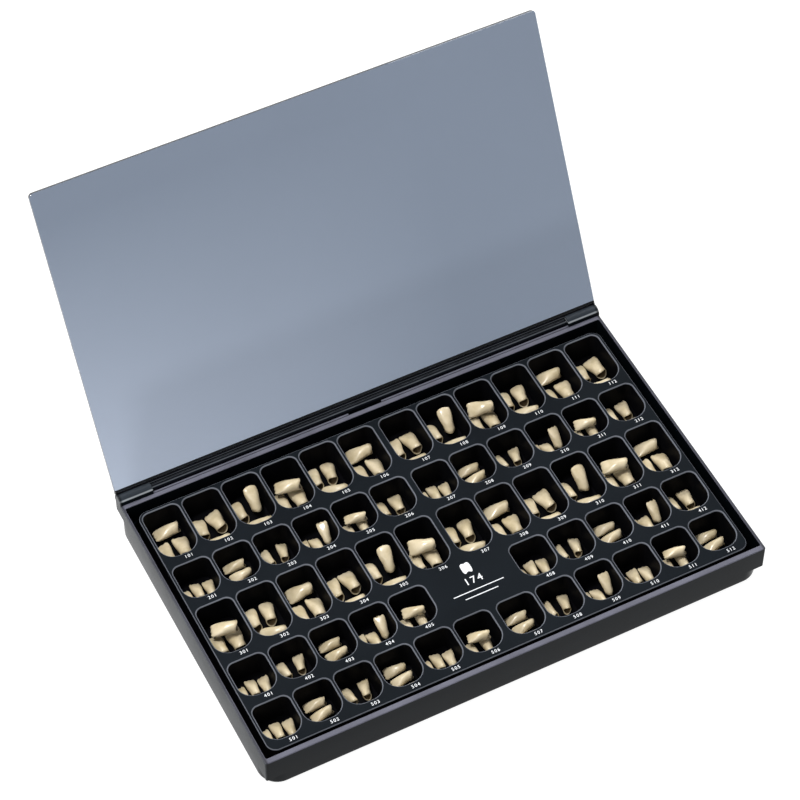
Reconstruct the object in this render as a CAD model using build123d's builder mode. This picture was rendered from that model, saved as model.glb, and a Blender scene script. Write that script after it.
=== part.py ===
from build123d import *
from math import cos, radians, sin
import os

# Strip-crown assortment kit: a flat moulded case, a tray insert with 58 wells in it, thin-walled
# crown forms lying in the wells, and a smoked lid on a rail that turns on two pins at the rear.
# Millimetres, +Z up, X along the long side, the hinge at +Y. The origin is the middle of the
# case's footprint on the surface that it stands on. The lid is modelled leaning back, open.

# ---- case ------------------------------------------------------------------------------------
CASE_WIDTH = 258.0
CASE_DEPTH = 164.8
CASE_HEIGHT = 22.0
CASE_FLOOR = 2.0
SIDE_WALL = 1.4
FRONT_WALL = 2.5
LOWER_CORNER_RADIUS = 10.0      # the lower part of the case is rounded at its corners
UPPER_CORNER_RADIUS = 0.8       # the upper band is nearly sharp and stands out as ears
BAND_Z = 8.0                    # where the upper band starts
REAR_EAR_Z = 13.5               # the rear ears start higher
EAR_FLOOR = 2.0
BASE_EDGE_RADIUS = 2.4
RIM_EDGE_RADIUS = 0.45

# ---- hinge -----------------------------------------------------------------------------------
CAVITY_REAR_Y = 73.8
HINGE_Y = 79.1
HINGE_Z = 22.4
KNUCKLE_RADIUS = 3.3
KNUCKLE_LENGTH = 17.1
BARREL_RADIUS = 1.6
PIN_RADIUS = 0.9
PIN_CLEARANCE = 0.05
PIN_IN_RAIL = 8.0
PIN_IN_KNUCKLE = 9.5
END_GAP = 0.3
TROUGH_FRONT_Y = 77.2
TROUGH_REAR_Y = 81.4
TROUGH_FLOOR_Z = 19.4
REAR_WALL_Z = 22.8
RIM_GROOVE = (76.0, 76.4)       # a fine groove splits a lip off the rear rim
GROOVE_DEPTH = 0.7
NOTCH_LENGTH = 17.8
NOTCH_DEPTH = 1.5

# ---- lid -------------------------------------------------------------------------------------
LID_LEAN = 27.3                 # degrees behind upright, where the open lid rests
LID_THICKNESS = 1.8
LID_INNER = 0.3                 # inner face of the lid in front of the hinge axis
LID_START = 4.0                 # distance from the hinge axis to the lid's rear edge
LID_LENGTH = 156.2
LID_CORNER_RADIUS = 2.0
LID_EDGE = 0.3
RAIL_BACK = 2.0
RAIL_LIP = 0.5
RAIL_LIP_END = 5.0
RAIL_STRIP_START = 3.0
RAIL_END_START = 3.6
RAIL_WEB = (-1.5, -0.5)

# ---- tray ------------------------------------------------------------------------------------
TRAY_WIDTH = 248.0
TRAY_DEPTH = 146.6
TRAY_REAR_Y = 69.7
TRAY_TOP_Z = 20.1
TRAY_SHEET = 1.2
TRAY_WALL = 0.9
TRAY_CORNER_RADIUS = 5.0
TRAY_EDGE_RADIUS = 0.6
WELL_WIDTH = 18.4
WELL_LONG = 28.4
WELL_SHORT = 20.1
WELL_DEPTH = 16.0
WELL_REAR_RADIUS = 3.6
WELL_FRONT_RADIUS = 7.4
WELL_EDGE_RADIUS = 0.85
WELL_FLOOR_RADIUS = 2.0
COLUMN_PITCH = 20.4
CENTRE_PITCH = 22.25            # the two middle columns stand a little further apart
STRIP = 5.75                    # the numbered strip in front of each row
REAR_MARGIN = 1.65
ROW_LENGTHS = (WELL_LONG, WELL_SHORT, WELL_LONG, WELL_SHORT, WELL_SHORT)
LABEL_ROW = 3                   # this row leaves its two middle columns free for the label

CAVITY_WIDTH = CASE_WIDTH - 2 * SIDE_WALL
CAVITY_FRONT_Y = -CASE_DEPTH / 2 + FRONT_WALL
CAVITY_DEPTH = CAVITY_REAR_Y - CAVITY_FRONT_Y
CAVITY_MID_Y = (CAVITY_REAR_Y + CAVITY_FRONT_Y) / 2
CASE_REAR_Y = CASE_DEPTH / 2
KNUCKLE_INNER_X = CASE_WIDTH / 2 - KNUCKLE_LENGTH
RAIL_HALF = KNUCKLE_INNER_X - END_GAP
TRAY_MID_Y = TRAY_REAR_Y - TRAY_DEPTH / 2
WELL_FLOOR_Z = TRAY_TOP_Z - WELL_DEPTH

BOTTOM = (Align.CENTER, Align.CENTER, Align.MIN)


def column_x(column):
    """Middle of a column of wells, counted 0 to 11 from the left."""
    steps = column - 5.5
    side = 1 if steps > 0 else -1
    return side * (CENTRE_PITCH / 2 + (abs(steps) - 0.5) * COLUMN_PITCH)


def row_y(row):
    """Middle of a row of wells, counted 0 to 4 from the rear."""
    rear = TRAY_REAR_Y - REAR_MARGIN - sum(ROW_LENGTHS[:row]) - STRIP * row
    return rear - ROW_LENGTHS[row] / 2


def columns_in(row):
    """Columns that have a well in this row."""
    return [c for c in range(12) if row != LABEL_ROW or c not in (5, 6)]


def well_outline(width, length, rear_radius, front_radius):
    """A rounded rectangle with tighter corners at the rear than at the front."""
    with BuildSketch(mode=Mode.PRIVATE) as outline:
        Rectangle(width, length)
        fillet(outline.vertices().group_by(Axis.Y)[-1], rear_radius)
        fillet(outline.vertices().group_by(Axis.Y)[0], front_radius)
    return outline.sketch


def save(part, name):
    """Label the part and write it under its node's name."""
    part.label = name
    export_step(part, f"parts/{name}.step")


os.makedirs("parts", exist_ok=True)

# ---- case shell ------------------------------------------------------------------------------
with BuildPart() as case_shell:
    with BuildSketch(Plane.XY):
        RectangleRounded(CASE_WIDTH, CASE_DEPTH, LOWER_CORNER_RADIUS)
    extrude(amount=REAR_EAR_Z)
    fillet(case_shell.edges().group_by(Axis.Z)[0], BASE_EDGE_RADIUS)
    with BuildSketch(Plane.XY.offset(BAND_Z)):
        RectangleRounded(CASE_WIDTH, CASE_DEPTH, UPPER_CORNER_RADIUS)
    extrude(amount=CASE_HEIGHT - BAND_Z)
    fillet(case_shell.edges().group_by(Axis.Z)[-1], RIM_EDGE_RADIUS)
    # the rear corners keep the lower rounding up to the bottom of the rear ears
    with BuildSketch(Plane.XY.offset(BAND_Z)):
        with Locations((-CASE_WIDTH / 2, CASE_REAR_Y), (CASE_WIDTH / 2, CASE_REAR_Y)):
            Rectangle(2 * LOWER_CORNER_RADIUS, 2 * LOWER_CORNER_RADIUS)
        RectangleRounded(CASE_WIDTH, CASE_DEPTH, LOWER_CORNER_RADIUS, mode=Mode.SUBTRACT)
    extrude(amount=REAR_EAR_Z - BAND_Z, mode=Mode.SUBTRACT)
    # the well of the case: rounded low down, square above the ears' floor
    with BuildSketch(Plane.XY.offset(CASE_FLOOR)):
        with Locations((0, CAVITY_MID_Y)):
            RectangleRounded(CAVITY_WIDTH, CAVITY_DEPTH, LOWER_CORNER_RADIUS - SIDE_WALL)
    extrude(amount=CASE_HEIGHT, mode=Mode.SUBTRACT)
    with BuildSketch(Plane.XY.offset(BAND_Z + EAR_FLOOR)):
        with Locations((0, CAVITY_MID_Y)):
            RectangleRounded(CAVITY_WIDTH, CAVITY_DEPTH, UPPER_CORNER_RADIUS)
    extrude(amount=CASE_HEIGHT, mode=Mode.SUBTRACT)
    # hinge trough behind the rear rim, with its low rear wall
    with Locations((0, (TROUGH_REAR_Y + CASE_REAR_Y) / 2, CASE_HEIGHT - RIM_EDGE_RADIUS)):
        Box(2 * KNUCKLE_INNER_X, CASE_REAR_Y - TROUGH_REAR_Y,
            REAR_WALL_Z - CASE_HEIGHT + RIM_EDGE_RADIUS, align=BOTTOM)
    with Locations((0, (TROUGH_FRONT_Y + TROUGH_REAR_Y) / 2, TROUGH_FLOOR_Z)):
        Box(2 * KNUCKLE_INNER_X, TROUGH_REAR_Y - TROUGH_FRONT_Y, CASE_HEIGHT,
            align=BOTTOM, mode=Mode.SUBTRACT)
    with Locations((0, sum(RIM_GROOVE) / 2, CASE_HEIGHT - GROOVE_DEPTH)):
        Box(2 * KNUCKLE_INNER_X, RIM_GROOVE[1] - RIM_GROOVE[0], CASE_HEIGHT,
            align=BOTTOM, mode=Mode.SUBTRACT)
    with Locations((0, (RIM_GROOVE[0] + TROUGH_FRONT_Y) / 2, CASE_HEIGHT - NOTCH_DEPTH)):
        Box(NOTCH_LENGTH, TROUGH_FRONT_Y - RIM_GROOVE[0], CASE_HEIGHT,
            align=BOTTOM, mode=Mode.SUBTRACT)
    # end knuckles: a round barrel on a block that fills down to the rear band
    for side in (-1, 1):
        middle = side * (CASE_WIDTH / 2 - KNUCKLE_LENGTH / 2)
        with Locations((middle, (HINGE_Y - KNUCKLE_RADIUS + CASE_REAR_Y) / 2, CASE_HEIGHT - 1)):
            Box(KNUCKLE_LENGTH, CASE_REAR_Y - HINGE_Y + KNUCKLE_RADIUS,
                HINGE_Z - CASE_HEIGHT + 1, align=BOTTOM)
        with Locations(Location((middle, HINGE_Y, HINGE_Z), (0, 90, 0))):
            Cylinder(KNUCKLE_RADIUS, KNUCKLE_LENGTH)
        with Locations(Location((side * KNUCKLE_INNER_X, HINGE_Y, HINGE_Z), (0, side * 90, 0))):
            Cylinder(PIN_RADIUS + PIN_CLEARANCE, PIN_IN_KNUCKLE + 0.5,
                     align=BOTTOM, mode=Mode.SUBTRACT)
    # the hinge block is cored out from below
    with Locations((0, (CAVITY_REAR_Y + CASE_REAR_Y) / 2 + 0.2, 0)):
        with GridLocations(44, 1, 5, 1):
            Box(40, 4.6, 16.6, align=BOTTOM, mode=Mode.SUBTRACT)
save(case_shell.part, "case_shell")

# ---- tray insert -----------------------------------------------------------------------------
wells = [(row, column) for row in range(5) for column in columns_in(row)]
with BuildPart() as tray_insert:
    with BuildSketch(Plane.XY.offset(TRAY_TOP_Z - TRAY_SHEET)):
        with Locations((0, TRAY_MID_Y)):
            RectangleRounded(TRAY_WIDTH, TRAY_DEPTH, TRAY_CORNER_RADIUS)
    extrude(amount=TRAY_SHEET)
    fillet(tray_insert.edges().group_by(Axis.Z)[-1], TRAY_EDGE_RADIUS)
    # skirt that stands on the case floor
    with BuildSketch(Plane.XY.offset(CASE_FLOOR)):
        with Locations((0, TRAY_MID_Y)):
            RectangleRounded(TRAY_WIDTH, TRAY_DEPTH, TRAY_CORNER_RADIUS)
            RectangleRounded(TRAY_WIDTH - 2 * TRAY_WALL, TRAY_DEPTH - 2 * TRAY_WALL,
                             TRAY_CORNER_RADIUS - TRAY_WALL, mode=Mode.SUBTRACT)
    extrude(amount=TRAY_TOP_Z - TRAY_SHEET - CASE_FLOOR)
    # the outside of the wells
    for row in range(5):
        with BuildSketch(Plane.XY.offset(WELL_FLOOR_Z - TRAY_WALL)):
            with Locations([(column_x(c), row_y(row)) for c in columns_in(row)]):
                add(well_outline(WELL_WIDTH + 2 * TRAY_WALL, ROW_LENGTHS[row] + 2 * TRAY_WALL,
                                 WELL_REAR_RADIUS + TRAY_WALL, WELL_FRONT_RADIUS + TRAY_WALL))
        extrude(amount=WELL_DEPTH - TRAY_SHEET + TRAY_WALL)
    # and their insides
    for row in range(5):
        with BuildSketch(Plane.XY.offset(WELL_FLOOR_Z)):
            with Locations([(column_x(c), row_y(row)) for c in columns_in(row)]):
                add(well_outline(WELL_WIDTH, ROW_LENGTHS[row],
                                 WELL_REAR_RADIUS, WELL_FRONT_RADIUS))
        extrude(amount=WELL_DEPTH, mode=Mode.SUBTRACT)
    top = tray_insert.faces().filter_by(Plane.XY).sort_by(Axis.Z)[-1]
    fillet(top.inner_wires().edges(), WELL_EDGE_RADIUS)
save(tray_insert.part, "tray_insert")

# ---- lid -------------------------------------------------------------------------------------
lean = radians(LID_LEAN)
along_lid = Vector(0, sin(lean), cos(lean))
inward = Vector(0, -cos(lean), sin(lean))
hinge_axis = Vector(0, HINGE_Y, HINGE_Z)
lid_plane = Plane(origin=hinge_axis, x_dir=(1, 0, 0), z_dir=inward)

with BuildPart() as lid_plate:
    with BuildSketch(lid_plane.offset(LID_INNER - LID_THICKNESS)) as plate_outline:
        with Locations((0, LID_START + LID_LENGTH / 2)):
            Rectangle(CASE_WIDTH, LID_LENGTH)
        fillet(plate_outline.vertices().group_by(Axis.Y)[-1], LID_CORNER_RADIUS)
    extrude(amount=LID_THICKNESS)
    chamfer(lid_plate.faces().sort_by(Axis(hinge_axis, inward))[-1]
            .edges(), LID_EDGE)
save(lid_plate.part, "lid_plate")


def rail_profile(x):
    """Plane across the rail at x: its own x runs along the lid, its y points inwards."""
    return Plane(origin=(x, HINGE_Y, HINGE_Z), x_dir=along_lid, z_dir=(1, 0, 0))


CORNER = (Align.MIN, Align.MIN)
with BuildPart() as lid_rail:
    # barrel, web and the strip that the lid's edge is bonded to
    with BuildSketch(rail_profile(-RAIL_HALF)):
        Circle(BARREL_RADIUS)
        with Locations((0, RAIL_WEB[0])):
            Rectangle(RAIL_STRIP_START, RAIL_WEB[1] - RAIL_WEB[0], align=CORNER)
        with Locations((RAIL_STRIP_START, -RAIL_BACK)):
            Rectangle(LID_START - RAIL_STRIP_START, RAIL_BACK + LID_INNER, align=CORNER)
    extrude(amount=2 * RAIL_HALF)
    # the strip and its rear lip run on over the knuckles to both ends
    with BuildSketch(rail_profile(-CASE_WIDTH / 2)):
        with Locations((RAIL_END_START, -RAIL_BACK)):
            Rectangle(LID_START - RAIL_END_START, RAIL_BACK + LID_INNER, align=CORNER)
        with Locations((LID_START, -RAIL_BACK)):
            Rectangle(RAIL_LIP_END - LID_START, RAIL_LIP, align=CORNER)
    extrude(amount=CASE_WIDTH)
    for side in (-1, 1):
        with Locations(Location((side * RAIL_HALF, HINGE_Y, HINGE_Z), (0, -side * 90, 0))):
            Cylinder(PIN_RADIUS, PIN_IN_RAIL, align=BOTTOM, mode=Mode.SUBTRACT)
save(lid_rail.part, "lid_rail")

for side, name in ((-1, "hinge_pin_left"), (1, "hinge_pin_right")):
    with BuildPart() as pin:
        start = side * (RAIL_HALF - PIN_IN_RAIL)
        with Locations(Location((start, HINGE_Y, HINGE_Z), (0, side * 90, 0))):
            Cylinder(PIN_RADIUS, PIN_IN_RAIL + END_GAP + PIN_IN_KNUCKLE, align=BOTTOM)
    save(pin.part, name)

# ---- crown forms -----------------------------------------------------------------------------
# Each form is a thin tapered tube, open at the neck and closed along the biting edge.
# kind: (length, width, thickness)
CROWN_SIZES = {
    "broad": (12.2, 7.8, 5.8),
    "canine": (12.4, 7.0, 6.0),
    "lateral": (11.0, 6.5, 5.4),
    "slim": (10.2, 5.4, 5.0),
}
CROWN_WALL = 0.45
CROWN_CLOSED_FROM = 0.88
# stations along the form: (share of the length, share of the width, share of the thickness)
CROWN_STATIONS = ((0.0, 0.80, 0.96), (0.35, 0.97, 1.0), (0.75, 1.0, 0.62), (1.0, 0.86, 0.22))

# How three forms lie in one well: kind, place to the right and to the rear of the well's middle,
# height of the form's middle above the well's floor, then turn, tip and roll in degrees.
PATTERNS = {
    # short wells
    "a": (("slim", -5.8, -0.6, 2.6, 3, 0, 0), ("slim", 0.0, 1.4, 2.6, -2, 0, 0),
          ("slim", 5.8, 0.4, 2.6, -5, 0, 0)),
    "b": (("slim", 0.4, 6.4, 2.6, 86, 0, 0), ("slim", 1.2, 0.3, 2.6, 94, 0, 0),
          ("slim", -0.2, -5.9, 2.6, 91, 0, 0)),
    "c": (("slim", -4.0, 3.5, 2.6, 8, 0, 0), ("slim", 4.4, 3.9, 2.6, -12, 0, 0),
          ("slim", 0.0, -5.9, 2.6, 92, 0, 0)),
    "d": (("slim", -5.9, 0.2, 2.6, -3, 0, 0), ("slim", -0.1, -0.6, 2.6, 2, 0, 0),
          ("slim", 5.7, 3.2, 5.6, 0, 38, 0)),
    "e": (("slim", -3.6, -0.8, 2.6, 4, 0, 0), ("slim", 4.0, -0.2, 2.6, -5, 0, 0),
          ("slim", 0.8, 2.4, 7.8, 74, 0, 0)),
    "f": (("lateral", -4.6, 4.0, 2.8, 3, 0, 0), ("lateral", 3.6, 4.2, 2.8, -4, 0, 0),
          ("lateral", 0.2, -5.4, 2.8, 89, 0, 0)),
    # long wells
    "g": (("broad", -4.5, -2.8, 3.0, 3, 0, 0), ("broad", 4.4, -2.2, 3.0, -3, 0, 0),
          ("broad", 0.8, 9.0, 3.0, 88, 0, 0)),
    "h": (("broad", -0.3, -8.7, 3.0, 91, 0, 0), ("broad", -4.5, 2.9, 3.0, -3, 0, 0),
          ("broad", 4.3, 3.9, 3.0, 5, 0, 0)),
    "i": (("canine", 4.2, 6.0, 6.6, 0, 40, 0), ("canine", -4.6, 3.6, 3.1, 4, 0, 0),
          ("canine", 1.0, -7.6, 3.1, 82, 0, 0)),
    "j": (("broad", -4.4, -1.0, 3.0, 2, 0, 0), ("broad", 4.4, -1.6, 3.0, -2, 0, 0),
          ("broad", 0.5, 3.0, 8.9, 72, 0, 0)),
    "k": (("canine", -4.7, 5.0, 3.1, -3, 0, 0), ("canine", 3.6, 5.6, 3.1, -8, 0, 0),
          ("canine", 0.6, -6.0, 3.1, 76, 0, 0)),
}
# one letter for each well of a row, from the left; a dot where the row has no well
ROW_PATTERNS = ("ghijkghijkgh", "abcdefabcdef", "jkghijkghijg", "acbde..acbdf", "abcbaebcdaeb")
FLOAT = 0.1                     # the forms' clearance above the floor


def crown_stations(length, width, thickness, wall, closed):
    """Ellipses along the form, taken in by the wall and cut off at the closed share."""
    sections = []
    for share, wide, thick in CROWN_STATIONS:
        with BuildSketch(Plane(origin=(0, (min(share, closed) - 0.5) * length, 0),
                               x_dir=(1, 0, 0), z_dir=(0, 1, 0))) as section:
            Ellipse(width * wide / 2 - wall, max(thickness * thick / 2 - wall, 0.3))
        sections.append(section.sketch)
    return sections


def crown_form(length, width, thickness):
    """One thin form along Y, its open neck at the -Y end."""
    with BuildPart() as form:
        loft(crown_stations(length, width, thickness, 0, 1.0))
        loft(crown_stations(length, width, thickness, CROWN_WALL, CROWN_CLOSED_FROM),
             mode=Mode.SUBTRACT)
    return form.part


def lay(x, y, z, turn, tip, roll):
    """Where a form lies: rolled about its length, tipped, then turned."""
    return (Location((x, y, z)) * Location((0, 0, 0), (0, 0, turn))
            * Location((0, 0, 0), (tip, 0, 0)) * Location((0, 0, 0), (0, roll, 0)))


crown_shapes = {kind: crown_form(*size) for kind, size in CROWN_SIZES.items()}
for row in range(5):
    for first in range(0, 12, 2):
        pair = [c for c in (first, first + 1) if c in columns_in(row)]
        name = f"crowns_row{row + 1}_wells_{first + 1:02d}_{first + 2:02d}"
        with BuildPart() as crowns:
            for column in pair:
                for kind, right, back, up, turn, tip, roll in PATTERNS[ROW_PATTERNS[row][column]]:
                    with Locations(lay(column_x(column) + right, row_y(row) + back,
                                       WELL_FLOOR_Z + FLOAT + up, turn, tip, roll)):
                        add(crown_shapes[kind])
        save(crowns.part, name)
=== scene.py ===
# %% [markdown]
# A strip-crown kit: a flat black case, a satin tray with 58 wells, thin tooth-shaped forms lying
# three to a well, and a smoked lid that leans back on its hinge. The CAD frame holds every size
# and place; this file gives each piece its finish, shades the moulded parts smooth and remakes
# the small crown forms, which carry the look of the object.

# %% Load the frame
import bpy
import bmesh
from math import cos, pi, radians, sin
from mathutils import Matrix, Vector


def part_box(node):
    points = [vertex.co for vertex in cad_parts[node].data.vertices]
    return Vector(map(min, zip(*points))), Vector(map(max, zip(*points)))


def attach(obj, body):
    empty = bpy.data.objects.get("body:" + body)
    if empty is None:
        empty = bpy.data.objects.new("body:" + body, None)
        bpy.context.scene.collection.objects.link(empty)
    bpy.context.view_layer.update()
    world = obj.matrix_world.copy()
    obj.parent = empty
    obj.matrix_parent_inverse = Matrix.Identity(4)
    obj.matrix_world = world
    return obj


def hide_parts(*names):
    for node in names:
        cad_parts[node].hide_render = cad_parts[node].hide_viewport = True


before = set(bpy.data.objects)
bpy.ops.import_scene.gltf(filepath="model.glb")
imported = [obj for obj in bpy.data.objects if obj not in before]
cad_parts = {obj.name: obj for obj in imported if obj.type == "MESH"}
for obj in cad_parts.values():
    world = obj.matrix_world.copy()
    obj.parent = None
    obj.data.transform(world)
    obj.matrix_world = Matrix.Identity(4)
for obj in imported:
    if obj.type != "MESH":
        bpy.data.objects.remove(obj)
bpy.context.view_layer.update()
MM = 0.001
scene = bpy.context.scene

# %% [markdown]
# Places that many pieces share come from the frame: the tray's top and its rear edge. The rows
# and columns repeat the tray's own layout, so that the forms and numbers line up with its wells.
# In the fourth row two columns are left free for the label.

# %% Shared places
tray_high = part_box("tray_insert")[1]
TRAY_TOP = tray_high.z
TRAY_REAR = tray_high.y
WELL_LONG = 28.4 * MM
WELL_SHORT = 20.1 * MM
WELL_DEPTH = 16.0 * MM
COLUMN_PITCH = 20.4 * MM
CENTRE_PITCH = 22.25 * MM
STRIP = 5.75 * MM
REAR_MARGIN = 1.65 * MM
ROW_LENGTHS = (WELL_LONG, WELL_SHORT, WELL_LONG, WELL_SHORT, WELL_SHORT)
ROWS = len(ROW_LENGTHS)
COLUMNS = 12
LABEL_ROW = 3
LABEL_COLUMNS = (5, 6)
WELL_FLOOR = TRAY_TOP - WELL_DEPTH


def column_x(column):
    """The middle of a column; the two middle columns stand a little further apart."""
    steps = column - (COLUMNS - 1) / 2
    side = 1 if steps > 0 else -1
    return side * (CENTRE_PITCH / 2 + (abs(steps) - 0.5) * COLUMN_PITCH)


def row_y(row):
    """The middle of a row, counted from the rear."""
    rear = TRAY_REAR - REAR_MARGIN - sum(ROW_LENGTHS[:row]) - STRIP * row
    return rear - ROW_LENGTHS[row] / 2


def columns_in(row):
    """The columns that have a well in this row."""
    return [c for c in range(COLUMNS) if row != LABEL_ROW or c not in LABEL_COLUMNS]


print("tray top", round(TRAY_TOP, 4), "first well", round(column_x(0), 4), round(row_y(0), 4))

# %% [markdown]
# Materials are node trees built by a few small helpers. The patterns read Object coordinates,
# which are the frame's own metres, so a noise scale of 400 means detail about 2.5 mm across.

# %% Material helpers
def new_material(name):
    """A material with an empty Principled shader, and its node tree."""
    material = bpy.data.materials.new(name)
    material.use_nodes = True
    tree = material.node_tree
    shader = tree.nodes["Principled BSDF"]
    return material, tree, shader


def noise(tree, scale, detail=3.0):
    """Noise on Object coordinates."""
    place = tree.nodes.new("ShaderNodeTexCoord")
    texture = tree.nodes.new("ShaderNodeTexNoise")
    texture.inputs["Scale"].default_value = scale
    texture.inputs["Detail"].default_value = detail
    tree.links.new(place.outputs["Object"], texture.inputs["Vector"])
    return texture.outputs["Fac"]


def ramp(tree, value, stops):
    """A colour ramp: stops are (place, colour)."""
    node = tree.nodes.new("ShaderNodeValToRGB")
    while len(node.color_ramp.elements) < len(stops):
        node.color_ramp.elements.new(0.5)
    for element, (place, colour) in zip(node.color_ramp.elements, stops):
        element.position = place
        element.color = (*colour, 1)
    tree.links.new(value, node.inputs["Fac"])
    return node.outputs["Color"]


def spread(tree, value, low, high):
    """Maps a value of 0 to 1 onto low to high."""
    node = tree.nodes.new("ShaderNodeMapRange")
    node.inputs["To Min"].default_value = low
    node.inputs["To Max"].default_value = high
    tree.links.new(value, node.inputs["Value"])
    return node.outputs["Result"]


def bump(tree, shader, height, distance, strength=1.0):
    """Joins a height to the shader's normal."""
    node = tree.nodes.new("ShaderNodeBump")
    node.inputs["Distance"].default_value = distance
    node.inputs["Strength"].default_value = strength
    tree.links.new(height, node.inputs["Height"])
    tree.links.new(node.outputs["Normal"], shader.inputs["Normal"])


def along(tree, axis, low, high):
    """0 where the axis reads low and 1 where it reads high."""
    place = tree.nodes.new("ShaderNodeTexCoord")
    parts = tree.nodes.new("ShaderNodeSeparateXYZ")
    node = tree.nodes.new("ShaderNodeMapRange")
    node.inputs["From Min"].default_value = low
    node.inputs["From Max"].default_value = high
    tree.links.new(place.outputs["Object"], parts.inputs["Vector"])
    tree.links.new(parts.outputs[axis], node.inputs["Value"])
    return node.outputs["Result"]


def mixed(tree, factor, first, second, blend="MIX"):
    """Two colours blended by a factor."""
    node = tree.nodes.new("ShaderNodeMix")
    node.data_type = "RGBA"
    node.blend_type = blend
    for socket, value in ((node.inputs[0], factor), (node.inputs[6], first),
                          (node.inputs[7], second)):
        if isinstance(value, (float, tuple)):
            socket.default_value = value
        else:
            tree.links.new(value, socket)
    return node.outputs[2]


def grey(level):
    """A neutral colour."""
    return (level, level, level)


def clouded(tree, colour, scale, detail, start, end, darkest):
    """A colour that a soft noise darkens in places, down to the darkest share of itself."""
    cloud = ramp(tree, noise(tree, scale, detail), ((start, grey(darkest)), (end, grey(1.0))))
    return mixed(tree, 1.0, colour, cloud, "MULTIPLY")


# %% [markdown]
# The case and the rail are glossy black plastic. A wide, weak noise moves the roughness about,
# as handling does, and a fine one gives the faint waviness of a moulded face. Highlights are
# painted into the colour as paler bands of height: the rim, a line along each knuckle under a
# greyer painted reflection, and two lines on the rail. The rim's painted highlight is dimmer
# along the short sides. The outer end faces, the last part of a millimetre in X, are dull and
# painted a little paler, as painted light.

# %% Black plastic
HALF_SPAN = 129.2 * MM
BAND_LOW, BAND_HIGH = 21 * MM, 26 * MM
GLOSS = 0.055
# painted light: a paler tone added on the outer end faces
PAINTED_END_LIGHT = (0.085, 0.090, 0.094)
# painted shade: dims the rim's painted highlight along the short sides
DIM_RIM = 0.30
# shares of the whole span in X, counted from either end
END_UNTIL, BODY_FROM = 0.0014, 0.0022
SIDE_RIM_UNTIL, LONG_RIM_FROM = 0.0050, 0.0062


def sides(tree, outer_until, inner_from, outer, inner):
    """One colour at both ends of the case and another between them."""
    return ramp(tree, along(tree, "X", -HALF_SPAN, HALF_SPAN),
                ((outer_until, outer), (inner_from, inner),
                 (1 - inner_from, inner), (1 - outer_until, outer)))


def black_plastic(name, bands, rough):
    """Glossy plastic, with highlights painted as paler bands of height."""
    material, tree, shader = new_material(name)
    # painted highlights: the rim, a line along each knuckle and two lines on the rail are paler
    # bands of height
    painted_light = ramp(tree, along(tree, "Z", BAND_LOW, BAND_HIGH), bands)
    # painted shade: the rim's painted highlight is dimmed along the short sides
    dim = sides(tree, SIDE_RIM_UNTIL, LONG_RIM_FROM, grey(DIM_RIM), grey(1.0))
    painted_light = mixed(tree, 1.0, painted_light, dim, "MULTIPLY")
    # painted light: a paler tone added on the outer end faces
    ends = sides(tree, END_UNTIL, BODY_FROM, PAINTED_END_LIGHT, grey(0.0))
    painted_light = mixed(tree, 1.0, painted_light, ends, "ADD")
    tree.links.new(clouded(tree, painted_light, 60, 3.0, 0.35, 0.65, 0.75), shader.inputs["Base Color"])
    gloss = sides(tree, END_UNTIL, BODY_FROM, grey(0.0), grey(GLOSS))
    tree.links.new(gloss, shader.inputs["Specular IOR Level"])
    tree.links.new(spread(tree, noise(tree, 45, 5), rough - 0.05, rough + 0.07),
                   shader.inputs["Roughness"])
    bump(tree, shader, noise(tree, 900, 2), 0.00001, 0.25)
    return material


CASE = (0.0035, 0.0055, 0.0075)
# painted highlight: the pale top of the rim
RIM = (0.125, 0.126, 0.160)
# painted highlight: a pale line along each knuckle
KNUCKLE_HIGHLIGHT = (0.300, 0.320, 0.340)
# painted reflection: the greyer top of each knuckle
KNUCKLE_TOP = (0.030, 0.036, 0.044)
RAIL = (0.0040, 0.0050, 0.0075)
# painted highlight: two pale lines along the rail
RAIL_HIGHLIGHT = (0.100, 0.110, 0.125)
# each band: its place between BAND_LOW and BAND_HIGH, and its colour
case_black = black_plastic(
    "case_black_plastic",
    ((0.080, CASE), (0.144, RIM), (0.224, RIM), (0.256, CASE), (0.610, CASE),
     (0.660, KNUCKLE_HIGHLIGHT), (0.730, KNUCKLE_HIGHLIGHT), (0.790, KNUCKLE_TOP)), 0.17)
rail_black = black_plastic(
    "rail_black_plastic",
    ((0.520, RAIL), (0.560, RAIL_HIGHLIGHT), (0.590, RAIL), (0.800, RAIL), (0.830, RAIL_HIGHLIGHT),
     (0.870, RAIL_HIGHLIGHT), (0.900, RAIL)), 0.14)

# %% [markdown]
# The tray is satin, blue-black plastic. Where the sheet bends down into each well, a pale band is
# painted on the fillet as a highlight, and the walls and floor below are painted darker as shade.
# The fillet lies between two heights, so the height of a point, read from Object coordinates, is
# enough to find it.

# %% Satin tray plastic
# painted shade on the walls and floors of the wells, and a painted highlight on their fillets
PAINTED_WELL_SHADE = (0.004, 0.004, 0.005)
PAINTED_SHOULDER_SHADE = (0.010, 0.011, 0.014)
PAINTED_HIGHLIGHT_LOWER = (0.175, 0.186, 0.212)
PAINTED_HIGHLIGHT_UPPER = (0.150, 0.160, 0.185)
TRAY_FACE = (0.0085, 0.0110, 0.0140)


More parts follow.
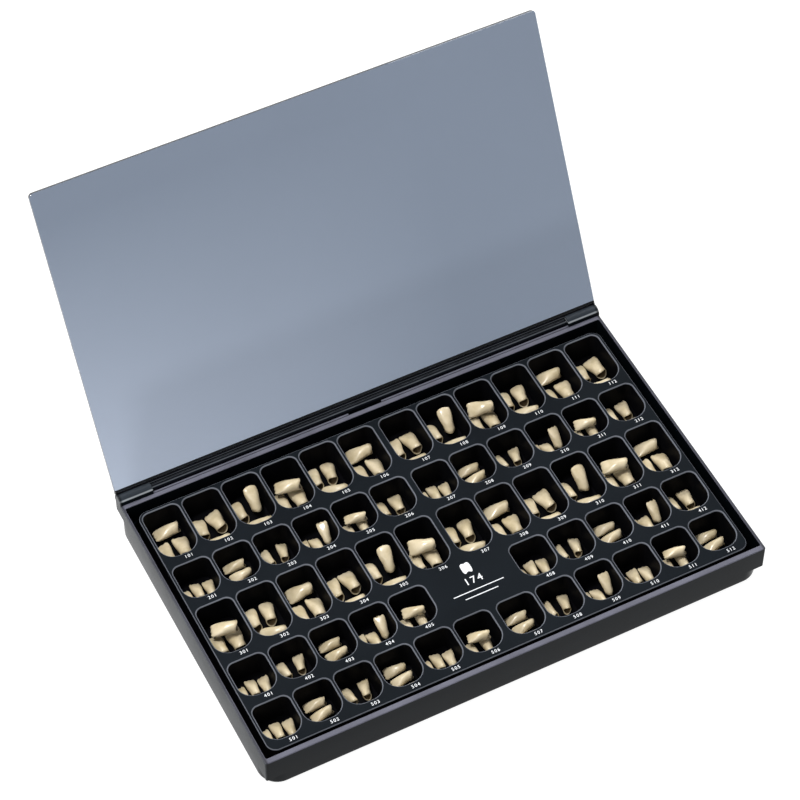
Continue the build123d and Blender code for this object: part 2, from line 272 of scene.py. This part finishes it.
def tray_plastic():
    material, tree, shader = new_material("tray_satin_plastic")
    # by height: painted shade in the wells, a painted highlight on the fillet, then the tray's face
    band = ramp(tree, along(tree, "Z", TRAY_TOP - 1.1 * MM, TRAY_TOP + 0.1 * MM),
                ((0.0, PAINTED_WELL_SHADE), (0.30, PAINTED_SHOULDER_SHADE), (0.58, PAINTED_HIGHLIGHT_LOWER),
                 (0.82, PAINTED_HIGHLIGHT_UPPER), (0.90, TRAY_FACE), (1.0, TRAY_FACE)))
    tree.links.new(clouded(tree, band, 35, 2, 0.3, 0.7, 0.80), shader.inputs["Base Color"])
    tree.links.new(spread(tree, noise(tree, 300, 4), 0.34, 0.44), shader.inputs["Roughness"])
    shader.inputs["Specular IOR Level"].default_value = 0.012
    bump(tree, shader, noise(tree, 2600, 2), 0.00002, 0.3)
    return material


tray_satin = tray_plastic()

# %% [markdown]
# The lid is a tinted clear sheet. Its base colour is what it lets through, so it is set by the
# share of light that should pass. A painted reflection makes it palest low down at the left, and
# painted shade makes it darkest at the top.

# %% Smoked lid
# painted reflection low at the left, fading to painted shade at the top
TINT_LOW_LEFT = (0.36, 0.41, 0.50, 1.0)
TINT_LOW_RIGHT = (0.198, 0.235, 0.300, 1.0)
TINT_TOP = (0.176, 0.210, 0.270, 1.0)


def smoked_sheet():
    material, tree, shader = new_material("lid_smoked_sheet")
    # painted reflection and painted shade in the tint: paler low at the left, darker towards the
    # top
    low = mixed(tree, along(tree, "X", -130 * MM, 60 * MM), TINT_LOW_LEFT, TINT_LOW_RIGHT)
    fade = mixed(tree, along(tree, "Z", 30 * MM, 150 * MM), low, TINT_TOP)
    tree.links.new(clouded(tree, fade, 9, 2, 0.3, 0.7, 0.97), shader.inputs["Base Color"])
    tree.links.new(spread(tree, noise(tree, 70, 4), 0.005, 0.03), shader.inputs["Roughness"])
    shader.inputs["Transmission Weight"].default_value = 1.0
    shader.inputs["IOR"].default_value = 1.49
    return material


lid_smoke = smoked_sheet()

# %% [markdown]
# The pins are steel wire. The crown forms are beige resin, glossier and more uneven than the
# tray; the "depth" value that each form carries paints shade on its inside, so that the open neck
# shows dark. The ink is a flat off-white.

# %% Steel, crown resin and ink
RESIN_DARK, RESIN_LIGHT = (0.50, 0.41, 0.25), (0.68, 0.58, 0.40)
# painted shade inside each hollow form
RESIN_INSIDE_SHADE = (0.15, 0.105, 0.055, 1.0)


def drawn_steel():
    material, tree, shader = new_material("pin_steel")
    shader.inputs["Metallic"].default_value = 1.0
    tree.links.new(ramp(tree, noise(tree, 900, 2), ((0.3, (0.42, 0.42, 0.43)),
                                                    (0.7, (0.60, 0.60, 0.61)))),
                   shader.inputs["Base Color"])
    shader.inputs["Roughness"].default_value = 0.3
    return material


def crown_plastic():
    material, tree, shader = new_material("crown_beige_resin")
    outside = ramp(tree, noise(tree, 160, 3), ((0.30, RESIN_DARK), (0.70, RESIN_LIGHT)))
    depth = tree.nodes.new("ShaderNodeAttribute")
    depth.attribute_name = "depth"
    # painted shade on the inside, where depth is 1
    colour = mixed(tree, depth.outputs["Fac"], outside, RESIN_INSIDE_SHADE)
    tree.links.new(colour, shader.inputs["Base Color"])
    tree.links.new(spread(tree, noise(tree, 500, 3), 0.16, 0.28), shader.inputs["Roughness"])
    bump(tree, shader, noise(tree, 700, 2), 0.00008, 0.5)
    return material


def print_ink():
    material, tree, shader = new_material("print_white_ink")
    tree.links.new(ramp(tree, noise(tree, 1500, 2), ((0.3, (0.62, 0.64, 0.66)),
                                                     (0.6, (0.82, 0.83, 0.85)))),
                   shader.inputs["Base Color"])
    shader.inputs["Roughness"].default_value = 0.55
    return material


pin_steel = drawn_steel()
crown_resin = crown_plastic()
white_ink = print_ink()

# %% [markdown]
# The moulded parts keep the CAD's shape. A CAD node's mesh is loose triangles, so a copy has its
# doubles merged and its faces shaded smooth, with a sharp edge wherever two faces meet at more
# than a given angle.

# %% Carry the moulded parts over
SHARP_ANGLE = radians(32)
MERGE_DISTANCE = 1e-6
SHORTEST_EDGE = 1e-7


def collection_piece(name, mesh, material):
    """A new object for a mesh, with one material."""
    piece = bpy.data.objects.new(name, mesh)
    scene.collection.objects.link(piece)
    mesh.materials.clear()
    mesh.materials.append(material)
    return piece


def moulded(node, name, material, body):
    """A merged, smooth-shaded copy of a CAD node that stands for it."""
    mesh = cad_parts[node].data.copy()
    work = bmesh.new()
    work.from_mesh(mesh)
    bmesh.ops.remove_doubles(work, verts=work.verts, dist=MERGE_DISTANCE)
    bmesh.ops.dissolve_degenerate(work, edges=work.edges, dist=SHORTEST_EDGE)
    for face in work.faces:
        face.smooth = True
    for edge in work.edges:
        edge.smooth = len(edge.link_faces) == 2 and edge.calc_face_angle() < SHARP_ANGLE
    work.to_mesh(mesh)
    work.free()
    piece = collection_piece(name, mesh, material)
    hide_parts(node)
    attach(piece, body)
    print(name, len(mesh.polygons), "faces")


moulded("case_shell", "case", case_black, "case")
moulded("tray_insert", "tray", tray_satin, "case")
moulded("lid_plate", "lid", lid_smoke, "lid")
moulded("lid_rail", "rail", rail_black, "lid")
for side in ("left", "right"):
    moulded(f"hinge_pin_{side}", f"pin_{side}", pin_steel, "lid")

# %% [markdown]
# A crown form is a thin hollow tooth shape. It is modelled as one ring of vertices that is
# extruded station by station: from the closed inside, out to the neck, over the thin lip and
# back along the outside to the biting edge. The stations' widths and thicknesses make the form.
# Vertices of the inside are marked with a depth of 1, which the resin's node tree reads to paint
# shade there.

# %% Crown form
RING = 28
CROWN_SIZES = {
    # length, width and thickness in millimetres
    "broad": (12.2, 7.8, 5.8),
    "canine": (12.4, 7.0, 6.0),
    "lateral": (11.0, 6.5, 5.4),
    "slim": (10.2, 5.4, 5.0),
}
CROWN_WALL = 0.42 * MM
THINNEST = 0.25 * MM
BOW = 0.34 * MM
END_INSET = 0.22 * MM
# each station: share of the length, of the width, of the thickness, and squareness
OUTSIDE = ((0.0, 0.74, 0.97, 0.0), (0.12, 0.73, 0.98, 0.0), (0.30, 0.76, 1.0, 0.05),
           (0.46, 0.86, 0.94, 0.15), (0.62, 0.96, 0.76, 0.35), (0.76, 1.0, 0.56, 0.5),
           (0.88, 1.0, 0.38, 0.65), (0.96, 0.98, 0.25, 0.7), (1.0, 0.92, 0.14, 0.7))
INSIDE = ((0.82, 0.94, 0.42, 0.5), (0.62, 0.94, 0.74, 0.3), (0.30, 0.75, 1.0, 0.05),
          (0.05, 0.74, 0.97, 0.0), (0.0, 0.74, 0.97, 0.0))


def shape_ring(ring, size, station, wall, pointed):
    """Moves a ring of vertices onto one station of the form."""
    length, width, thickness = (v * MM for v in size)
    share, wide, thick, square = station
    half_x = width * wide / 2 - wall
    half_z = max(thickness * thick / 2 - wall, THINNEST)
    power = 1 - 0.45 * square
    narrowed = 1 - 0.12 * pointed * max(share - 0.8, 0) / 0.2
    for number, vertex in enumerate(ring):
        angle = 2 * pi * number / RING
        across, through = cos(angle), sin(angle)
        # a rounded rectangle, with three shallow grooves on its outer side and a flatter inner side
        x = half_x * abs(across) ** power * (1 if across > 0 else -1)
        z = half_z * abs(through) ** power * (1 if through > 0 else -1)
        ridge = 1 - 0.16 * square * cos(1.5 * pi * across) ** 2
        z *= ridge if through > 0 else 1 - 0.18 * square * sin(angle) ** 2
        # a canine's edge runs out to a tip, the other kinds' edges have faint lobes
        tip = pointed * max(share - 0.7, 0) / 0.3 * (1 - abs(across) ** 1.3)
        lobes = 0.02 * max(share - 0.85, 0) / 0.15 * cos(3 * pi * across) * (1 - pointed)
        blunted = pointed * max(share - 0.9, 0) * 0.5
        # the neck's edge is scalloped, and the whole form is bowed along its length
        neck = (1 - share) ** 4 * 0.055 * cos(2 * angle)
        bow = BOW * (0.25 - (share - 0.45) ** 2 / 0.3) * (0.6 + 0.4 * through)
        y = length * (share - 0.5 + lobes + neck + tip * 0.06 - blunted)
        vertex.co = (x * narrowed, y, z + bow)


def crown_mesh(kind):
    """One form along Y with its open neck at the -Y end."""
    size = CROWN_SIZES[kind]
    pointed = 1.0 if kind == "canine" else 0.0
    work = bmesh.new()
    made = bmesh.ops.create_circle(work, segments=RING, radius=MM, cap_ends=False)
    ring = made["verts"]
    edges = list(work.edges)
    shape_ring(ring, size, INSIDE[0], CROWN_WALL, pointed)
    inner_end = list(ring)
    stations = [(s, CROWN_WALL) for s in INSIDE[1:]] + [(s, 0.0) for s in OUTSIDE]
    inner = [ring]
    for station, wall in stations:
        grown = bmesh.ops.extrude_edge_only(work, edges=edges)["geom"]
        edges = [g for g in grown if isinstance(g, bmesh.types.BMEdge)]
        fresh = {v for v in grown if isinstance(v, bmesh.types.BMVert)}
        ring = [next(e.other_vert(v) for e in v.link_edges if e.other_vert(v) in fresh)
                for v in ring]
        shape_ring(ring, size, station, wall, pointed)
        if wall:
            inner.append(ring)
    for loop in (inner_end, ring):
        work.faces.new(loop)
    work.verts.index_update()
    deep = {vertex.index for loop in inner[:-1] for vertex in loop}
    bmesh.ops.recalc_face_normals(work, faces=work.faces)
    ends = [f for f in work.faces if len(f.verts) > 4]
    bmesh.ops.inset_region(work, faces=ends, thickness=END_INSET, depth=0.0)
    depth = work.verts.layers.float.new("depth")
    for vertex in work.verts:
        vertex[depth] = 1.0 if vertex.index in deep else 0.0
    for face in work.faces:
        face.smooth = True
    mesh = bpy.data.meshes.new(f"crown_{kind}")
    work.to_mesh(mesh)
    work.free()
    return mesh


crown_meshes = {kind: crown_mesh(kind) for kind in CROWN_SIZES}
print("crown form faces", {kind: len(mesh.polygons) for kind, mesh in crown_meshes.items()})

# %% [markdown]
# Nobody lays these forms out by hand, yet they aren't random either: three long things in a
# small well end up side by side, crossed or leaning. A few such patterns, repeated from well to
# well, read as loose contents. They are the frame's own, so each form lies on its CAD solid. To
# keep the rows from looking stamped, each form is also rolled a little about its length, and one
# that lies flat has its open neck raised.

# %% Lay the forms in their wells
# each form: its kind, millimetres right and back of the well's middle, millimetres up from the
# well's floor, degrees turned and degrees tipped
PATTERNS = {
    "a": (("slim", -5.8, -0.6, 2.6, 3, 0), ("slim", 0.0, 1.4, 2.6, -2, 0),
          ("slim", 5.8, 0.4, 2.6, -5, 0)),
    "b": (("slim", 0.4, 6.4, 2.6, 86, 0), ("slim", 1.2, 0.3, 2.6, 94, 0),
          ("slim", -0.2, -5.9, 2.6, 91, 0)),
    "c": (("slim", -4.0, 3.5, 2.6, 8, 0), ("slim", 4.4, 3.9, 2.6, -12, 0),
          ("slim", 0.0, -5.9, 2.6, 92, 0)),
    "d": (("slim", -5.9, 0.2, 2.6, -3, 0), ("slim", -0.1, -0.6, 2.6, 2, 0),
          ("slim", 5.7, 3.2, 5.6, 0, 38)),
    "e": (("slim", -3.6, -0.8, 2.6, 4, 0), ("slim", 4.0, -0.2, 2.6, -5, 0),
          ("slim", 0.8, 2.4, 7.8, 74, 0)),
    "f": (("lateral", -4.6, 4.0, 2.8, 3, 0), ("lateral", 3.6, 4.2, 2.8, -4, 0),
          ("lateral", 0.2, -5.4, 2.8, 89, 0)),
    "g": (("broad", -4.5, -2.8, 3.0, 3, 0), ("broad", 4.4, -2.2, 3.0, -3, 0),
          ("broad", 0.8, 9.0, 3.0, 88, 0)),
    "h": (("broad", -0.3, -8.7, 3.0, 91, 0), ("broad", -4.5, 2.9, 3.0, -3, 0),
          ("broad", 4.3, 3.9, 3.0, 5, 0)),
    "i": (("canine", 4.2, 6.0, 6.6, 0, 40), ("canine", -4.6, 3.6, 3.1, 4, 0),
          ("canine", 1.0, -7.6, 3.1, 82, 0)),
    "j": (("broad", -4.4, -1.0, 3.0, 2, 0), ("broad", 4.4, -1.6, 3.0, -2, 0),
          ("broad", 0.5, 3.0, 8.9, 72, 0)),
    "k": (("canine", -4.7, 5.0, 3.1, -3, 0), ("canine", 3.6, 5.6, 3.1, -8, 0),
          ("canine", 0.6, -6.0, 3.1, 76, 0)),
}
ROW_PATTERNS = ("ghijkghijkgh", "abcdefabcdef", "jkghijkghijg", "acbde..acbdf", "abcbaebcdaeb")
FLOAT = 0.1                         # clearance under every form, in millimetres
NECK_UP = 9.0                       # degrees
NECK_LIFT = 0.45 * MM
ROLLS = (-14, 9, 16, -6, 12, -17, 4)    # degrees, taken in turn
WELLS_IN_A_PIECE = 2


def lay(x, y, z, turn, tip, roll):
    """Rolled about its length, tipped, turned, then put in place, with its neck a little up."""
    if tip == 0:
        tip, z = -NECK_UP, z + NECK_LIFT
    return (Matrix.Translation((x, y, z)) @ Matrix.Rotation(radians(turn), 4, "Z")
            @ Matrix.Rotation(radians(tip), 4, "X") @ Matrix.Rotation(radians(roll), 4, "Y"))


count = 0
for row in range(ROWS):
    for first in range(0, COLUMNS, WELLS_IN_A_PIECE):
        work = bmesh.new()
        work.verts.layers.float.new("depth")
        for column in range(first, first + WELLS_IN_A_PIECE):
            if column not in columns_in(row):
                continue
            for kind, right, back, up, turn, tip in PATTERNS[ROW_PATTERNS[row][column]]:
                form = crown_meshes[kind].copy()
                form.transform(lay(column_x(column) + right * MM, row_y(row) + back * MM,
                                   WELL_FLOOR + (FLOAT + up) * MM, turn, tip,
                                   ROLLS[count % len(ROLLS)]))
                work.from_mesh(form)
                bpy.data.meshes.remove(form)
                count += 1
        wells = f"row{row + 1}_wells_{first + 1:02d}_{first + 2:02d}"
        mesh = bpy.data.meshes.new(f"forms_{wells}")
        work.to_mesh(mesh)
        work.free()
        piece = collection_piece(f"forms_{wells}", mesh, crown_resin)
        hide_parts(f"crowns_{wells}")
        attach(piece, "case")
print("forms laid", count)

# %% [markdown]
# Each well has a number printed in front of it: the row, then the column. Text is a curve in
# Blender, so each number is made a mesh first and then moved to its strip. The free field in the
# fourth row carries a plain tooth sign, the number of forms and two rules.

# %% Printed numbers
NUMBER_SIZE = 2.45 * MM
NUMBER_RIGHT = 1.7 * MM
NUMBER_FRONT = 2.5 * MM
INK = 0.02 * MM
COUNT_SIZE = 5.4 * MM
COUNT_BACK = 1.0 * MM
RULES = ((26, 4.2), (17, 7.4))      # width, and distance in front of the row's middle, in mm
RULE_WEIGHT = 0.45 * MM
SIGN_RADIUS = 3.6 * MM
SIGN_BACK = 8.6 * MM


def printed(text, size, x, y, work):
    """Adds a line of figures, centred on x and y, to a bmesh as a thin raised print."""
    curve = bpy.data.curves.new("figures", "FONT")
    curve.body = text
    curve.size = size
    curve.space_character = 1.25
    curve.align_x = "CENTER"
    curve.align_y = "CENTER"
    curve.extrude = INK / 2
    curve.offset = 0.004 * size
    curve.resolution_u = 3
    holder = bpy.data.objects.new("figures", curve)
    scene.collection.objects.link(holder)
    bpy.context.view_layer.update()
    shape = holder.evaluated_get(bpy.context.evaluated_depsgraph_get())
    mesh = bpy.data.meshes.new_from_object(shape)
    mesh.transform(Matrix.Translation((x, y, TRAY_TOP + INK)))
    work.from_mesh(mesh)
    bpy.data.objects.remove(holder)
    bpy.data.curves.remove(curve)
    bpy.data.meshes.remove(mesh)


work = bmesh.new()
for row in range(ROWS):
    number_y = row_y(row) - ROW_LENGTHS[row] / 2 - NUMBER_FRONT
    for column in columns_in(row):
        printed(f"{row + 1}{column + 1:02d}", NUMBER_SIZE, column_x(column) + NUMBER_RIGHT,
                number_y, work)

label_x = 0.5 * sum(column_x(column) for column in LABEL_COLUMNS)
label_y = row_y(LABEL_ROW)
printed(str(count), COUNT_SIZE, label_x, label_y + COUNT_BACK, work)
for wide, down in RULES:
    bar = bmesh.ops.create_cube(work, size=1.0)["verts"]
    bmesh.ops.scale(work, verts=bar, vec=(wide * MM, RULE_WEIGHT, INK))
    bmesh.ops.translate(work, verts=bar, vec=(label_x, label_y - down * MM, TRAY_TOP + INK))
tooth = bmesh.ops.create_circle(work, segments=32, radius=SIGN_RADIUS, cap_ends=True)["verts"]
for vertex in tooth:
    turn = vertex.co.to_2d().angle_signed(Vector((0, 1)), 0)
    # a dip between the cusps at the top, and a notch between the roots at the bottom
    crown = 0.82 + 0.18 * cos(2 * turn) - 0.34 * max(cos(turn), 0) ** 14
    roots = 1.0 + 0.25 * max(-cos(turn), 0) - 0.62 * max(-cos(turn), 0) ** 12
    vertex.co = (vertex.co.x * crown * 1.05 + label_x,
                 vertex.co.y * crown * roots + label_y + SIGN_BACK, TRAY_TOP + INK)
mesh = bpy.data.meshes.new("printed_numbers")
work.to_mesh(mesh)
work.free()
numbers = collection_piece("printed_numbers", mesh, white_ink)
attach(numbers, "case")
print("number faces", len(mesh.polygons))

# %% [markdown]
# The stage is a pale floor that glows, so that it stays white around the dark case, and three
# lights: a large soft one behind, a smaller soft one at the left, and a small one overhead that
# gives the forms their highlights. The long lens stands well back, so that the sides of the case
# stay nearly parallel.

# %% Floor, light and camera
FLOOR_SIZE = 6.0
FLOOR_GAP = 0.0002
FLOOR_COLOUR = (0.22, 0.22, 0.22, 1)
FLOOR_GLOW = 0.93
SKY_COLOUR = (0.95, 0.97, 1.0, 1)
SKY_STRENGTH = 0.30


def area_light(name, place, target, size, power):
    """A soft rectangular light that faces its target."""
    data = bpy.data.lights.new(name, "AREA")
    data.shape = "RECTANGLE"
    data.size, data.size_y = size
    data.energy = power
    lamp = bpy.data.objects.new(name, data)
    scene.collection.objects.link(lamp)
    lamp.location = place
    lamp.rotation_euler = (target - place).to_track_quat("-Z", "Y").to_euler()


floor_work = bmesh.new()
bmesh.ops.create_grid(floor_work, x_segments=1, y_segments=1, size=FLOOR_SIZE)
floor_mesh = bpy.data.meshes.new("floor")
floor_work.to_mesh(floor_mesh)
floor_work.free()
floor_material, floor_tree, floor_shader = new_material("pale_floor")
floor_shader.inputs["Base Color"].default_value = FLOOR_COLOUR
floor_shader.inputs["Emission Color"].default_value = (1.0, 1.0, 1.0, 1)
floor_shader.inputs["Emission Strength"].default_value = FLOOR_GLOW
floor_shader.inputs["Roughness"].default_value = 0.9
floor_shader.inputs["Specular IOR Level"].default_value = 0.1
floor = collection_piece("floor", floor_mesh, floor_material)
floor.location.z = -FLOOR_GAP

world = bpy.data.worlds.new("studio")
scene.world = world
world.use_nodes = True
background = world.node_tree.nodes["Background"]
background.inputs["Color"].default_value = SKY_COLOUR
background.inputs["Strength"].default_value = SKY_STRENGTH

middle = Vector((0.0, 0.0, 0.02))
area_light("rear_softbox", middle + Vector((0.45, 0.86, 1.26)), middle, (1.5, 1.1), 22)
area_light("left_softbox", Vector((-0.9, -0.5, 1.3)), middle, (0.9, 0.9), 8)
area_light("small_key", middle + Vector((-0.40, 0.15, 1.25)), middle, (0.12, 0.12), 11)

CAMERA_PLACE = (-0.39795, -0.73934, 1.1812)
CAMERA_TURN, CAMERA_DOWN = radians(27.064), radians(51.794)
SENSOR = 36
LENS_PER_SENSOR = 3.8177
look = Vector((sin(CAMERA_TURN) * cos(CAMERA_DOWN), cos(CAMERA_TURN) * cos(CAMERA_DOWN),
               -sin(CAMERA_DOWN)))
camera_data = bpy.data.cameras.new("camera")
camera_data.sensor_width = SENSOR
camera_data.lens = LENS_PER_SENSOR * SENSOR
camera_data.clip_end = 30
camera = bpy.data.objects.new("camera", camera_data)
scene.collection.objects.link(camera)
camera.location = CAMERA_PLACE
camera.rotation_euler = look.to_track_quat("-Z", "Y").to_euler()
scene.camera = camera
scene.view_settings.view_transform = "Standard"
